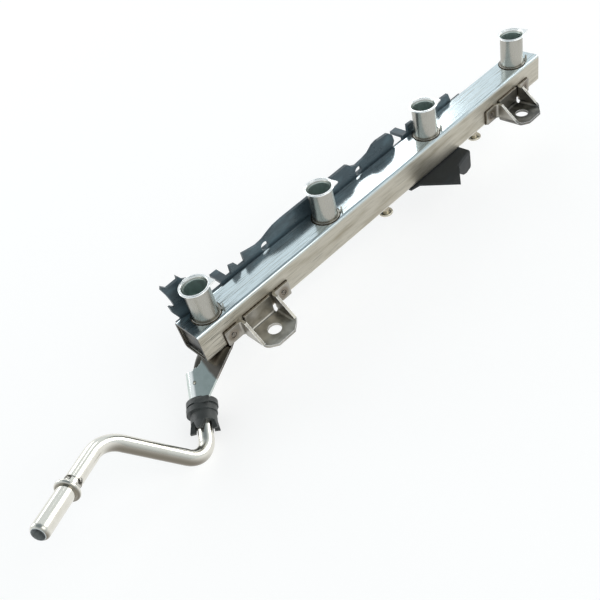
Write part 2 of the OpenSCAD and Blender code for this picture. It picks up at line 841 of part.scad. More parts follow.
// the raised wall of the tray, dipping over each window
module raised_wall() {
  top = rail_top + tray_rise;
  dip = top - tray_dip;
  a = window_1_x;
  b = window_2_x;
  polygon([[tray_left, rail_lift], [tray_left, dip + 1.6], [a - 9, dip + 0.2], [a - 5, dip - 0.4],
           [a, dip + 0.1], [a + 6, dip + 2.1], [a + 10, dip + 3.2], [a + 17, top - 0.2],
           [b - 43, top], [b - 23, top + 1], [b - 9, top + 1.2], [b - 7, dip + 4], [b - 5.5, dip + 2],
           [b - 1, dip], [b + 6, dip + 0.6], [b + 11, dip + 1.6], [b + 16, top + 0.7],
           [b + 20, top + 1.4], [b + 30, top + 0.6], [tray_right - 3, top - 0.8],
           [tray_right - 1, dip + 1], [tray_right, dip - 3.5], [tray_right - 1.6, rail_top],
           [tray_right - 1.6, rail_lift]]);
}

// the saddle at the inlet end, with two horns on its edge and a hook below the hollow
module saddle() {
  x0 = -half_len + 4.5;
  top = rail_top + saddle_h;
  polygon([[x0, rail_lift], [x0, rail_top - 1], [x0 - 2.7, rail_top + 5.5],
           [x0 - 3.2, rail_top + 10.5], [x0 - 2.2, rail_top + 10.3], [x0, rail_top + 8.2],
           [x0 - 0.4, rail_top + 12], [x0 - 1.4, rail_top + 17.5], [x0 - 3.1, top + 1],
           [x0 - 2.2, top + horn_h], [x0 + 0.4, top], [x0 + saddle_w - 2.4, top + 0.2],
           [x0 + saddle_w - 2, top + horn_h - 0.2], [x0 + saddle_w + 0.8, top - 2],
           [x0 + saddle_w + 6, rail_top + 17], [x0 + saddle_w + 12, rail_top + 6],
           [x0 + saddle_w + 13, rail_lift]]);
}

// the low wall between the saddle and the raised wall, and the posts beside the fingers
module low_wall() {
  step = rail_top + finger_rise;
  polygon([[-half_len + 20, rail_lift], [-half_len + 20, rail_top - 1],
           [finger_1_x - finger_w / 2, rail_top - 1], [finger_1_x - finger_w / 2, step],
           [finger_1_x + finger_w, step],
           [finger_1_x + finger_w + 0.4, step + 5.4], [finger_1_x + finger_w + 4.4, step + 4.2],
           [finger_1_x + finger_w + 6.5, step + 0.6], [tray_left, step + 0.6],
           [tray_left, rail_lift]]);
  polygon([[tray_right - 2, rail_lift], [tray_right - 2, rail_top - 2],
           [finger_2_x - finger_w / 2, rail_top - 2], [finger_2_x - finger_w / 2, step],
           [finger_2_x + finger_w / 2, step], [finger_2_x + finger_w / 2 + 0.2, step + 5],
           [finger_2_x + finger_w / 2 + 6, step + 4.6], [finger_2_x + finger_w / 2 + 6, rail_lift]]);
  polygon([[tray_end - 28, rail_lift], [tray_end - 25, rail_top + 8], [tray_end - 20.7, rail_top + 5.8],
           [tray_end - 13.2, rail_top + 5.4], [tray_end - 11.2, rail_top], [tray_end - 11.2, rail_lift]]);
}

// headed stud welded to the tube's underside
module tray_stud(n) {
  rim = stud_head_t / 2;
  color(BRIGHT)
  translate([stud_x + n * stud_pitch, stud_y, rail_lift])
    mirror([0, 0, 1])
      rotate_extrude() {
        square([stud_d / 2, stud_len]);
        translate([0, stud_len - stud_head_t])
          square([stud_head_d / 2 - rim, stud_head_t]);
        translate([stud_head_d / 2 - rim, stud_len - rim])
          circle(rim);
      }
}

// folded black bracket: a tongue under the tube with a flap turned down along one edge
module connector_bracket() {
  out_r = tongue_fold_r + tongue_t;
  front = foot_reach - tongue_reach;
  fold_at = [tongue_x + flap_x, front + flap_y];
  along = [cos(flap_turn), sin(flap_turn)];
  inward = [-sin(flap_turn), cos(flap_turn)];
  near = fold_at + out_r * inward;
  far = near + flap_w * along;
  color(BLACK) {
    translate([0, 0, rail_lift - tongue_t])
      linear_extrude(tongue_t)
        polygon([[tongue_x - tongue_near, foot_reach], [tongue_x - knee_x, foot_reach - knee_y],
                 [tongue_x, front], fold_at - tongue_t / 3 * along, near, far,
                 [tongue_x + tongue_far, foot_reach], [tongue_x + tongue_far, foot_reach + tongue_root],
                 [tongue_x - tongue_near, foot_reach + tongue_root]]);
    translate([fold_at.x, fold_at.y, rail_lift])
      rotate([0, 0, flap_turn]) {
        rotate([90, 0, 90])
          linear_extrude(flap_w)
            translate([out_r, -out_r])
              rotate(90)
                quarter(tongue_fold_r, out_r);
        translate([0, tongue_t, 0])
          rotate([90, 0, 0])
            linear_extrude(tongue_t)
              polygon([[0, -out_r], [0, -flap_near_drop], [0.32 * flap_w, 1 - 0.95 * flap_drop],
                       [0.6 * flap_w, -flap_drop], [flap_w - 1, -flap_drop], [flap_w, 1 - flap_drop],
                       [flap_w, -out_r]]);
      }
  }
}

rail_tube();
end_cap(-1);  // inlet_end_cap
end_cap(1);  // far_end_cap
injector_cup(1);  // injector_cup_1
injector_cup(2);  // injector_cup_2
injector_cup(3);  // injector_cup_3
injector_cup(4);  // injector_cup_4
translate([-foot_pitch / 2, 0, 0]) foot();  // foot_bracket_inlet
translate([foot_pitch / 2, 0, 0]) foot();  // foot_bracket_far
inlet_pipe();
pipe_support_bracket();
pipe_clip();
harness_tray();
tray_stud(0);  // tray_stud_1
tray_stud(1);  // tray_stud_2
connector_bracket();
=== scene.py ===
"""Looks of the fuel rail: finishes, brazed seams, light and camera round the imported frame.

Blender's metres, with every value named _mm in millimetres, in the part's own frame: +X runs from the
inlet end to the far end, +Y from the feet to the wiring tray and +Z out of the injector cups' mouths.
"""

import logging
import math
from dataclasses import dataclass
from enum import Enum

import bmesh
import bpy
import numpy as np
from mathutils import Matrix, Vector


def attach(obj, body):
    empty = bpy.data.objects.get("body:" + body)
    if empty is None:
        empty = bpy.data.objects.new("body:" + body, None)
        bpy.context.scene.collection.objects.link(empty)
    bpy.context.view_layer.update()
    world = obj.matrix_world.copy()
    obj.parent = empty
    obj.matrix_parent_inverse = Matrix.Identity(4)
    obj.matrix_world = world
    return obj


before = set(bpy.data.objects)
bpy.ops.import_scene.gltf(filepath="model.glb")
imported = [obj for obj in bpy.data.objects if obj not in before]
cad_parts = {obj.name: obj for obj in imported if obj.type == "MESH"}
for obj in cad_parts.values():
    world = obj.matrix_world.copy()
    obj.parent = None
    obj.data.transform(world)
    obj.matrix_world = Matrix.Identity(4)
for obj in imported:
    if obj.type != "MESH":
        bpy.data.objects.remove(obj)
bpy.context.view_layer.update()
MM = 0.001
LOG = logging.getLogger("fuel_rail")

Pair = tuple[float, float]
Triple = tuple[float, float, float]


@dataclass(frozen=True)
class Plan:
    """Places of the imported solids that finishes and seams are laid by."""

    front_y_mm: float = 12.4
    back_y_mm: float = 33.4
    under_z_mm: float = 0.7
    top_z_mm: float = 20.9
    half_mm: float = 160.0
    corner_mm: float = 2.2
    wall_mm: float = 1.5
    cup_x_mm: tuple[float, ...] = (-144.9, -48.9, 47.1, 143.1)
    cup_y_mm: float = 22.9
    foot_x_mm: float = 120.5
    pipe_root_mm: Triple = (-153.6, 25.4, 0.7)
    arm_foot_mm: Triple = (-152.6, 21.0, 0.7)


PLAN = Plan()


class Facing(Enum):
    """Plane that a seam lies in, as its path's two axes and the axis it faces along."""

    FRONT = (0, 2, 1)
    TOP = (0, 1, 2)
    END = (1, 2, 0)

    def lift(self, path: list[Pair], level: float) -> np.ndarray:
        """Puts a flat path at its level in the part's frame.

        Args:
            path: points in the plane, mm.
            level: place of the plane along the axis it faces along, mm.

        Returns:
            The points, 3 numbers each.
        """
        points = np.full((len(path), 3), float(level))
        points[:, self.value[:2]] = path
        return points

    def up(self) -> np.ndarray:
        """Returns the direction that the plane faces."""
        return np.eye(3)[self.value[2]]


class Sum(Enum):
    """Sums of two values that the patterns use, by Blender's names."""

    PLUS = "ADD"
    LESS = "SUBTRACT"
    TIMES = "MULTIPLY"
    LARGER = "MAXIMUM"
    SIZE = "ABSOLUTE"


def linear(hex_colour: str) -> tuple[float, float, float, float]:
    """Turns an sRGB hex colour into Blender's linear colour.

    Args:
        hex_colour: colour such as "#a0b0c0".

    Returns:
        Linear red, green, blue and alpha.
    """
    values = [int(hex_colour[i:i + 2], 16) / 255 for i in (1, 3, 5)]
    return tuple(v / 12.92 if v <= 0.04045 else ((v + 0.055) / 1.055) ** 2.4 for v in values) + (1.0,)


def add_node(tree: bpy.types.NodeTree, kind: str, inputs: dict | None = None, **settings) -> bpy.types.Node:
    """Adds one shader node with its settings, values and links.

    Args:
        tree: node tree of the material or world.
        kind: Blender's type name of the node.
        inputs: value, output socket or pattern for each input, by its name or number.
        settings: the node's own properties.

    Returns:
        The new node.
    """
    node = tree.nodes.new(kind)
    for key, value in settings.items():
        setattr(node, key, value)
    for key, value in (inputs or {}).items():
        value = getattr(value, "socket", value)
        if isinstance(value, bpy.types.NodeSocket):
            tree.links.new(value, node.inputs[key])
        else:
            node.inputs[key].default_value = value
    return node


class Pattern:
    """A value that varies over a surface, such as a noise or a length, with its sums and smooth steps."""

    NOISE_SPREAD: Pair = (0.3, 0.7)

    def __init__(self, tree: bpy.types.NodeTree, socket: bpy.types.NodeSocket) -> None:
        """Starts from a socket of the material's tree."""
        self.tree, self.socket = tree, socket

    def __add__(self, other: "Pattern | float") -> "Pattern":
        """Adds another value."""
        return self.joined(Sum.PLUS, self, other)

    def __mul__(self, other: "Pattern | float") -> "Pattern":
        """Multiplies by another value."""
        return self.joined(Sum.TIMES, self, other)

    def __sub__(self, other: "Pattern | float") -> "Pattern":
        """Takes another value away."""
        return self.joined(Sum.LESS, self, other)

    def __rsub__(self, other: float) -> "Pattern":
        """Takes the pattern away from a number."""
        return self.joined(Sum.LESS, other, self)

    def __abs__(self) -> "Pattern":
        """Drops the sign."""
        return self.joined(Sum.SIZE, self, 0.0)

    def joined(self, how: Sum, a: "Pattern | float", b: "Pattern | float") -> "Pattern":
        """Joins two values by a sum."""
        node = add_node(self.tree, "ShaderNodeMath", {0: a, 1: b}, operation=how.value)
        return Pattern(self.tree, node.outputs[0])

    def ease(self, low: float, high: float, start: float = 0.0, end: float = 1.0) -> "Pattern":
        """Maps the value smoothly from one span onto another, held at its ends.

        Args:
            low: value that becomes start.
            high: value that becomes end.
            start: the other span's start.
            end: the other span's end.

        Returns:
            The mapped value.
        """
        inputs = {"Value": self, "From Min": low, "From Max": high, "To Min": start, "To Max": end}
        node = add_node(self.tree, "ShaderNodeMapRange", inputs, interpolation_type="SMOOTHSTEP")
        return Pattern(self.tree, node.outputs[0])

    def rise(self, low_mm: float, high_mm: float, start: float = 0.0, end: float = 1.0) -> "Pattern":
        """Eases a length in metres, from a span in mm."""
        return self.ease(low_mm * MM, high_mm * MM, start, end)

    def fall(self, low_mm: float, high_mm: float) -> "Pattern":
        """Gives 1 up to the lower length and 0 past the higher one."""
        return self.rise(low_mm, high_mm, 1.0, 0.0)

    def vary(self, low: float, high: float) -> "Pattern":
        """Spreads the range that noise mostly keeps to over the span low to high."""
        return self.ease(*self.NOISE_SPREAD, low, high)


class Surface:
    """One material on its way: Principled shader, coats of colour and patterns of a real size in mm."""

    RIM_LEAN: Pair = (0.80, 0.985)
    RIM_SAMPLES: int = 6
    EDGE_SAMPLES: int = 4

    def __init__(self, name: str, metal: bool, base: str) -> None:
        """Starts the material.

        Args:
            name: the finish's common name.
            metal: whether it is bare metal.
            base: hex colour under every coat.
        """
        self.material = bpy.data.materials.new(name)
        self.material.use_nodes = True
        self.tree = self.material.node_tree
        self.shader = self.tree.nodes["Principled BSDF"]
        self.shader.inputs["Metallic"].default_value = float(metal)
        self.colour = linear(base)
        self.place = add_node(self.tree, "ShaderNodeTexCoord").outputs["Object"]
        axes = add_node(self.tree, "ShaderNodeSeparateXYZ", {0: self.place}).outputs
        self.x, self.y, self.z = (Pattern(self.tree, axis) for axis in axes)

    def coat(self, colour: str, share: Pattern) -> None:
        """Lays a hex colour over what is there, by its share from 0 to 1."""
        inputs = {0: share, 6: self.colour, 7: linear(colour)}
        self.colour = add_node(self.tree, "ShaderNodeMix", inputs, data_type="RGBA").outputs[2]

    def grain(self, size_mm: Triple, detail: float = 3.0) -> Pattern:
        """Gives noise whose blots measure about size_mm along X, Y and Z.

        Args:
            size_mm: blot size along each axis.
            detail: octaves of finer noise.

        Returns:
            Pattern from 0 to 1 with 0.5 as its middle.
        """
        scale = tuple(1 / (s * MM) for s in size_mm)
        at = add_node(self.tree, "ShaderNodeMapping", {"Vector": self.place, "Scale": scale}).outputs[0]
        noise = add_node(self.tree, "ShaderNodeTexNoise", {"Vector": at, "Scale": 1.0, "Detail": detail})
        return Pattern(self.tree, noise.outputs[0])

    def way_from(self, start_mm: Triple, squash: Triple = (1, 1, 1)) -> bpy.types.NodeSocket:
        """Gives the way in metres from a point, times the squash along each axis."""
        shift = tuple(-c * MM * s for c, s in zip(start_mm, squash))
        inputs = {"Vector": self.place, "Location": shift, "Scale": squash}
        return add_node(self.tree, "ShaderNodeMapping", inputs).outputs[0]

    def near(self, centre_mm: Triple, inner_mm: float, outer_mm: float, squash: Triple = (1, 1, 1)
             ) -> Pattern:
        """Gives 1 near a point and 0 far from it.

        Args:
            centre_mm: the point.
            inner_mm: distance up to which it is 1.
            outer_mm: distance past which it is 0.
            squash: factor on the distance along each axis, 0 to leave an axis out.

        Returns:
            Pattern from 0 to 1.
        """
        way = {0: self.way_from(centre_mm, squash)}
        away = add_node(self.tree, "ShaderNodeVectorMath", way, operation="LENGTH")
        return Pattern(self.tree, away.outputs["Value"]).fall(inner_mm, outer_mm)

    def along(self, direction: Triple, start_mm: Triple) -> Pattern:
        """Gives the distance in metres along a direction, from a plane through the start."""
        ways = {0: self.way_from(start_mm), 1: direction}
        reach = add_node(self.tree, "ShaderNodeVectorMath", ways, operation="DOT_PRODUCT")
        return Pattern(self.tree, reach.outputs["Value"])

    def off_line(self, direction: Triple, start_mm: Triple) -> Pattern:
        """Gives the distance in metres from a line through the start."""
        ways = {0: self.way_from(start_mm), 1: direction}
        side = add_node(self.tree, "ShaderNodeVectorMath", ways, operation="CROSS_PRODUCT").outputs[0]
        away = add_node(self.tree, "ShaderNodeVectorMath", {0: side}, operation="LENGTH")
        return Pattern(self.tree, away.outputs["Value"])

    def turned(self, direction: Triple, low: float, high: float) -> Pattern:
        """Gives 1 on faces turned to a direction of the part's frame and 0 on faces turned from it.

        Args:
            direction: the direction, of length 1.
            low: cosine between face and direction at which it is 0.
            high: cosine at which it is 1.

        Returns:
            Pattern from 0 to 1.
        """
        face = add_node(self.tree, "ShaderNodeNewGeometry").outputs["Normal"]
        lean = add_node(self.tree, "ShaderNodeVectorMath", {0: face, 1: direction}, operation="DOT_PRODUCT")
        return Pattern(self.tree, lean.outputs["Value"]).ease(low, high)

    def rim(self, radius_mm: float) -> Pattern:
        """Gives 1 along sharp edges and 0 on open faces, by the lean of an edge-rounded normal.

        Args:
            radius_mm: how far from an edge the normal is rounded.

        Returns:
            Pattern from 0 to 1.
        """
        soft = add_node(self.tree, "ShaderNodeBevel", {"Radius": radius_mm * MM}, samples=self.RIM_SAMPLES)
        face = add_node(self.tree, "ShaderNodeNewGeometry").outputs["Normal"]
        ways = {0: soft.outputs[0], 1: face}
        lean = add_node(self.tree, "ShaderNodeVectorMath", ways, operation="DOT_PRODUCT")
        return Pattern(self.tree, lean.outputs["Value"]).ease(*self.RIM_LEAN, 1.0, 0.0)

    def close(self, rough: Pattern | float, bump: Pattern | None = None, relief_mm: float = 0.0,
              edge_mm: float = 0.0) -> bpy.types.Material:
        """Links the coats, the roughness and the bump to the shader.

        Args:
            rough: roughness, a pattern or one number.
            bump: height pattern from 0 to 1.
            relief_mm: height of the bump's relief.
            edge_mm: radius that sharp edges are shaded with, 0 for none.

        Returns:
            The finished material.
        """
        self.tree.links.new(self.colour, self.shader.inputs["Base Color"])
        if isinstance(rough, Pattern):
            self.tree.links.new(rough.socket, self.shader.inputs["Roughness"])
        else:
            self.shader.inputs["Roughness"].default_value = rough
        normal = None
        if edge_mm:
            radius = {"Radius": edge_mm * MM}
            normal = add_node(self.tree, "ShaderNodeBevel", radius, samples=self.EDGE_SAMPLES).outputs[0]
        if bump is not None:
            inputs = {"Height": bump, "Distance": relief_mm * MM, "Strength": 1.0}
            if normal is not None:
                inputs["Normal"] = normal
            normal = add_node(self.tree, "ShaderNodeBump", inputs).outputs[0]
        if normal is not None:
            self.tree.links.new(normal, self.shader.inputs["Normal"])
        return self.material


@dataclass(frozen=True)
class RailSteel:
    """Drawn, belt-brushed stainless tube: fine lengthwise marks, blue-white above as a painted reflection of
    the sky, straw-grey at the sides, and a painted highlight along the bottom corner.

    The marks are drawn 0.35 to 0.6 mm wide, coarser than real brushing, so that they show.
    """

    # painted reflection: the top face's blue-white stands for the sky it mirrors
    top: str = "#e0ecf0"
    side: str = "#c4bfb2"
    tint: str = "#a8a190"
    scratch: str = "#5f5f57"
    corner_highlight: str = "#f0eee6"
    end: str = "#4d4c48"
    streak_mm: Triple = (55, 0.6, 0.5)
    scratch_mm: Triple = (16, 0.4, 0.35)
    cloud_mm: Triple = (34, 6, 5)
    rubbed_x_mm: Pair = (-136, -124)
    corner_highlight_z_mm: Pair = (2.1, 2.7)
    shoulder_mm: float = 0.2
    cut_mm: Pair = (0.1, 0.02)
    rough: Pair = (0.14, 0.22)
    side_rough: float = 0.27
    relief_mm: float = 0.004
    scratch_relief: float = 0.4

    def material(self) -> bpy.types.Material:
        """Builds the finish."""
        s = Surface("brushed_stainless_tube", metal=True, base=self.side)
        streak = s.grain(self.streak_mm, detail=4)
        scratch = s.grain(self.scratch_mm, detail=2)
        cloud = s.grain(self.cloud_mm)
        above = s.z.rise(PLAN.top_z_mm - PLAN.corner_mm, PLAN.top_z_mm - self.shoulder_mm)
        s.coat(self.tint, cloud.ease(0.45, 0.72))
        # painted reflection: the top face is coloured blue-white, as the sky it mirrors
        s.coat(self.top, above)
        s.coat(self.tint, streak.ease(0.5, 0.75, end=0.45))
        s.coat(self.scratch, scratch.ease(0.54, 0.64) * s.x.rise(*self.rubbed_x_mm, start=1.0, end=0.35))
        # painted highlight: a pale strip, broken by the streaks, along the tube's bottom corner
        s.coat(self.corner_highlight, s.z.fall(*self.corner_highlight_z_mm) * streak.ease(0.4, 0.5))
        s.coat(self.end, abs(s.x).rise(*(PLAN.half_mm - depth for depth in self.cut_mm)))
        rough = streak.vary(*self.rough) + above.ease(0, 1, start=self.side_rough, end=0.0)
        return s.close(rough, streak + scratch * self.scratch_relief, self.relief_mm)


@dataclass(frozen=True)
class CapSteel:
    """Pressed end cap: dark all over, with a paler worn fold."""

    body: str = "#4a4b4b"
    worn: str = "#77736b"
    cloud_mm: Triple = (4, 4, 3)
    scale_mm: Triple = (0.8, 0.8, 0.8)
    rough: Pair = (0.34, 0.46)
    relief_mm: float = 0.006
    edge_mm: float = 0.25

    def material(self) -> bpy.types.Material:
        """Builds the finish."""
        s = Surface("dark_cap_steel", metal=True, base=self.body)
        cloud = s.grain(self.cloud_mm)
        s.coat(self.worn, cloud.ease(0.4, 0.7))
        return s.close(cloud.vary(*self.rough), s.grain(self.scale_mm), self.relief_mm, self.edge_mm)


@dataclass(frozen=True)
class CupSteel:
    """Deep-drawn stainless cup: satin wall with upright draw lines and smoky blots, painted shade at its
    foot, a painted highlight on its lip edged by a painted dark line, and an inside painted paler as painted
    light.
    """

    centre_mm: Pair
    wall: str = "#aeaca4"
    # used for random smoky blots, and for painted shade at the cup's foot
    smoke_and_foot_shade: str = "#7d7a72"
    lip_highlight: str = "#fbfcfb"
    inside: str = "#d3dfdb"
    line: str = "#6d7371"
    mouth_z_mm: float = 42.6
    bore_r_mm: float = 6.75
    bore_play_mm: Pair = (0.15, 0.5)
    draw_mm: Triple = (0.7, 0.7, 14)
    cloud_mm: Triple = (7, 7, 9)
    lip_highlight_down_mm: Pair = (1.3, 0.9)
    line_down_mm: Pair = (3.0, 2.0)
    inside_down_mm: Pair = (2.6, 1.0)
    foot_shade_up_mm: Pair = (0.2, 2.4)
    line_r_mm: float = 0.3
    rough: Pair = (0.24, 0.3)
    inside_rough: float = 0.16

    def material(self) -> bpy.types.Material:
        """Builds the finish."""
        s = Surface("drawn_stainless_cup", metal=True, base=self.wall)
        draw = s.grain(self.draw_mm)
        cloud = s.grain(self.cloud_mm, detail=2)
        lip_highlight, line, inside = ([self.mouth_z_mm - down for down in span]
                             for span in (self.lip_highlight_down_mm, self.line_down_mm, self.inside_down_mm))
        reach = [self.bore_r_mm + play for play in self.bore_play_mm]
        hollow = s.near((*self.centre_mm, 0.0), *reach, squash=(1, 1, 0)) * s.z.fall(*inside)
        s.coat(self.smoke_and_foot_shade, cloud.ease(0.5, 0.8, end=0.25))
        # painted shade: the wall darkens towards its foot on the tube
        s.coat(self.smoke_and_foot_shade, s.z.rise(*(PLAN.top_z_mm + up for up in self.foot_shade_up_mm), start=0.6, end=0.0))
        # painted highlight: the lip is coloured near-white
        s.coat(self.lip_highlight, s.z.rise(*lip_highlight))
        # painted shade: a dark line along the sharp edges at the cup's mouth
        s.coat(self.line, s.rim(self.line_r_mm) * s.z.rise(*line, end=0.7))
        # painted light: the bore is coloured paler and bluer than the wall, to lift its shade
        s.coat(self.inside, hollow)
        return s.close(draw.vary(*self.rough) + hollow * self.inside_rough)


@dataclass(frozen=True)
class FootSteel:
    """Pressed stainless foot: satin sheet with brown heat colours round its welded ears, and painted white
    highlights along its sharp edges.
    """

    bolt_x_mm: float
    sheet: str = "#b0ada5"
    plate: str = "#b0ada5"
    dark_tone: str = "#918e86"
    heat: str = "#6b5c4a"
    pit: str = "#40372d"
    bright: str = "#ffffff"
    weld_mm: Triple = (19.6, 11.5, 6.5)
    ring_mm: Pair = (2.4, 5.2)
    core_mm: Pair = (0.6, 1.6)
    pit_mm: Pair = (0.9, 2.0)
    plate_z_mm: Pair = (1.9, 2.6)
    root_y_mm: Pair = (9.4, 12.2)
    clear_y_mm: Pair = (9.6, 10.4)
    cloud_mm: Triple = (7, 7, 5)
    grit_mm: Triple = (0.6, 0.6, 0.6)
    heat_share: float = 0.7
    pit_share: float = 0.6
    rough: Pair = (0.28, 0.38)
    rim_mm: float = 0.6
    relief_mm: float = 0.002
    edge_mm: float = 0.3

    def material(self) -> bpy.types.Material:
        """Builds the finish."""
        s = Surface("pressed_stainless_foot", metal=True, base=self.sheet)
        cloud = s.grain(self.cloud_mm, detail=4)
        # the plate's own colour, darker on the far foot as a painted shade
        s.coat(self.plate, s.z.fall(*self.plate_z_mm))
        s.coat(self.dark_tone, cloud.ease(0.4, 0.7))
        across, y, z = self.weld_mm
        for side in (-1, 1):
            weld = (self.bolt_x_mm + side * across, y, z)
            ring = s.near(weld, *self.ring_mm) - s.near(weld, *self.core_mm)
            s.coat(self.heat, ring * self.heat_share)
            s.coat(self.pit, s.near(weld, *self.pit_mm) * self.pit_share)
        s.coat(self.heat, s.y.rise(*self.root_y_mm, end=0.4))
        # painted highlight: sharp edges, the bend between plate and web too, are coloured white
        s.coat(self.bright, s.rim(self.rim_mm) * s.y.rise(*self.clear_y_mm, start=0.95, end=0.3))
        return s.close(cloud.vary(*self.rough), s.grain(self.grit_mm), self.relief_mm, self.edge_mm)


@dataclass(frozen=True)
class PipeSteel:
    """Nickel-bright drawn pipe: mirror-like above, with painted shade on its lower front side and at its
    root.
    """

    body: str = "#e6e3da"
    rub: str = "#d2cdc0"
    dark_tone: str = "#7b756a"
    root_shade: str = "#45443f"
    mark: str = "#4b4841"
    inside: str = "#cfd2d2"
    root_shade_mm: Pair = (15.5, 19.0)
    tip_mm: Triple = (-277.448, -30.812, 35.029)
    tip_axis: Triple = (-0.7733, -0.5701, 0.2773)
    bore_r_mm: Pair = (3.55, 3.8)
    bore_reach_mm: Pair = (20.0, 22.0)
    shaded_side: Triple = (-0.49, -0.87, 0.02)
    shaded_side_lean: Pair = (0.42, 1.05)
    marks_mm: tuple[Triple, ...] = ((-253.7, -12.6, 30.8), (-250.9, -16.6, 27.4))
    mark_r_mm: Pair = (1.4, 2.8)
    cloud_mm: Triple = (9, 9, 9)
    blotch_mm: Triple = (1.3, 1.3, 1.3)
    rough: Pair = (0.13, 0.21)
    bore_rough: float = 0.45

    def material(self) -> bpy.types.Material:
        """Builds the finish."""
        s = Surface("bright_drawn_pipe", metal=True, base=self.body)
        cloud = s.grain(self.cloud_mm, detail=4)
        s.coat(self.rub, cloud.ease(0.5, 0.8, end=0.6))
        # painted shade: faces turned down and to the front are coloured darker
        s.coat(self.dark_tone, s.turned(self.shaded_side, *self.shaded_side_lean))
        # painted shade: the pipe darkens near its root under the tube
        s.coat(self.root_shade, s.near(PLAN.pipe_root_mm, *self.root_shade_mm))
        blotch = s.grain(self.blotch_mm, detail=2).ease(0.44, 0.53)
        for mark in self.marks_mm:
            s.coat(self.mark, s.near(mark, *self.mark_r_mm) * blotch)
        bore = s.off_line(self.tip_axis, self.tip_mm).fall(*self.bore_r_mm)
        bore = bore * s.near(self.tip_mm, *self.bore_reach_mm)
        s.coat(self.inside, bore)
        return s.close(cloud.vary(*self.rough) + bore * self.bore_rough)


@dataclass(frozen=True)
class ZincPlate:
    """Zinc-plated sheet: pale grey-green, half matt, brown near where it was brazed to the tube, partly heat
    tint and partly painted shade, with a painted shadow at the tube and painted highlights on its rolled
    edge and sharp edges.
    """

    body: str = "#cfd9d4"
    mottle: str = "#c2cdc8"
    scorch_and_shade: str = "#8d847b"
    root_shadow: str = "#5a544c"
    bright: str = "#f6f7f5"
    burr: str = "#2b2b29"
    scorch_and_shade_way: Triple = (-0.918, 0.234, -0.321)
    scorch_and_shade_mm: Pair = (7.2, 9.0)
    root_shadow_mm: Pair = (0.0, 5.5)
    waver_mm: float = 0.5
    hole_mm: Triple = (-171.1, 16.25, -8.47)
    hole_clear_mm: Pair = (1.3, 1.8)
    burr_mm: Pair = (0.9, 1.25)
    roll_mm: Triple = (-182.27, 13.18, -14.06)
    roll_way: Triple = (-0.7362, 0.6662, -0.1212)
    roll_from_mm: Pair = (-7.0, -6.6)
    roll_to_mm: Pair = (-3.6, -2.2)
    cloud_mm: Triple = (7, 7, 7)
    bright_share: float = 0.9
    rough: Pair = (0.2, 0.25)
    rolled_shine: float = 0.1
    rim_mm: float = 0.4
    edge_mm: float = 0.25

    def material(self) -> bpy.types.Material:
        """Builds the finish."""
        s = Surface("zinc_plated_sheet", metal=True, base=self.body)
        cloud = s.grain(self.cloud_mm, detail=4)
        s.coat(self.mottle, cloud.ease(0.4, 0.7))
        waver = self.waver_mm * MM
        from_root = s.along(self.scorch_and_shade_way, PLAN.arm_foot_mm) + cloud.vary(-waver, waver)
        # partly heat tint, partly painted shade: brown towards the brazed root
        s.coat(self.scorch_and_shade, from_root.fall(*self.scorch_and_shade_mm))
        # painted shadow: dark right next to the tube
        s.coat(self.root_shadow, from_root.fall(*self.root_shadow_mm))
        over = s.along(self.roll_way, self.roll_mm)
        rolled = over.rise(*self.roll_from_mm) * over.fall(*self.roll_to_mm)
        # painted highlight: a bright band where the edge rolls over
        s.coat(self.bright, rolled * self.bright_share)
        hole = s.near(self.hole_mm, *self.hole_clear_mm)
        # painted highlight: sharp edges, except round the hole, are coloured bright
        s.coat(self.bright, s.rim(self.rim_mm) * (self.bright_share - hole))
        s.coat(self.burr, s.near(self.hole_mm, *self.burr_mm))
        return s.close(cloud.vary(*self.rough) - rolled * self.rolled_shine, edge_mm=self.edge_mm)


@dataclass(frozen=True)
class StudSteel:
    """Turned, projection-welded stud: bright head with a straw heat colour at its root."""

    head: str = "#c9c3b4"
    straw: str = "#7d6a48"
    root_z_mm: Pair = (-5.0, 0.2)
    cloud_mm: Triple = (2.5, 2.5, 2.5)
    rough: Pair = (0.18, 0.32)
    relief_mm: float = 0.01

    def material(self) -> bpy.types.Material:
        """Builds the finish."""
        s = Surface("turned_steel_stud", metal=True, base=self.head)
        cloud = s.grain(self.cloud_mm)
        s.coat(self.straw, s.z.rise(*self.root_z_mm, end=0.8))
        return s.close(cloud.vary(*self.rough), cloud, self.relief_mm)


@dataclass(frozen=True)
class DarkPolymer:
    """Moulded glass-filled nylon, or a dark coat on sheet: near black, painted highlights in slate at its
    rims, finely grained.

    The spark-eroded grain is drawn 0.45 mm wide, coarser than the real one, so that it shows.
    """

    name: str
    body: str
    scuff: str
    roughness: float
    shine: float = 0.5
    edge: str = "#6d7678"
    cloud_mm: Triple = (11, 6, 6)
    spark_mm: Triple = (0.45, 0.45, 0.45)
    spread: Pair = (-0.05, 0.08)
    edge_share: float = 0.5
    rim_mm: float = 0.4
    relief_mm: float = 0.006
    edge_mm: float = 0.35

    def material(self) -> bpy.types.Material:
        """Builds the finish."""
        s = Surface(self.name, metal=False, base=self.body)
        cloud = s.grain(self.cloud_mm, detail=4)
        s.coat(self.scuff, cloud.ease(0.45, 0.75))
        # painted highlight: sharp rims are coloured slate
        s.coat(self.edge, s.rim(self.rim_mm) * self.edge_share)
        rough = cloud.vary(*(self.roughness + part for part in self.spread))
        s.shader.inputs["Specular IOR Level"].default_value = self.shine
        return s.close(rough, s.grain(self.spark_mm, detail=2), self.relief_mm, self.edge_mm)


@dataclass(frozen=True)
class BrazeMetal:
    """Nickel braze at a seam: rippled, brown-grey and half matt."""

    body: str = "#4f4437"
    dark: str = "#2c251d"
    roughness: float = 0.42
    ripple_mm: Triple = (0.8, 0.8, 0.8)
    relief_mm: float = 0.02

    def material(self) -> bpy.types.Material:
        """Builds the finish."""
        s = Surface("nickel_braze", metal=True, base=self.body)
        ripple = s.grain(self.ripple_mm)
        s.coat(self.dark, ripple.ease(0.35, 0.65))
        return s.close(self.roughness, ripple, self.relief_mm)


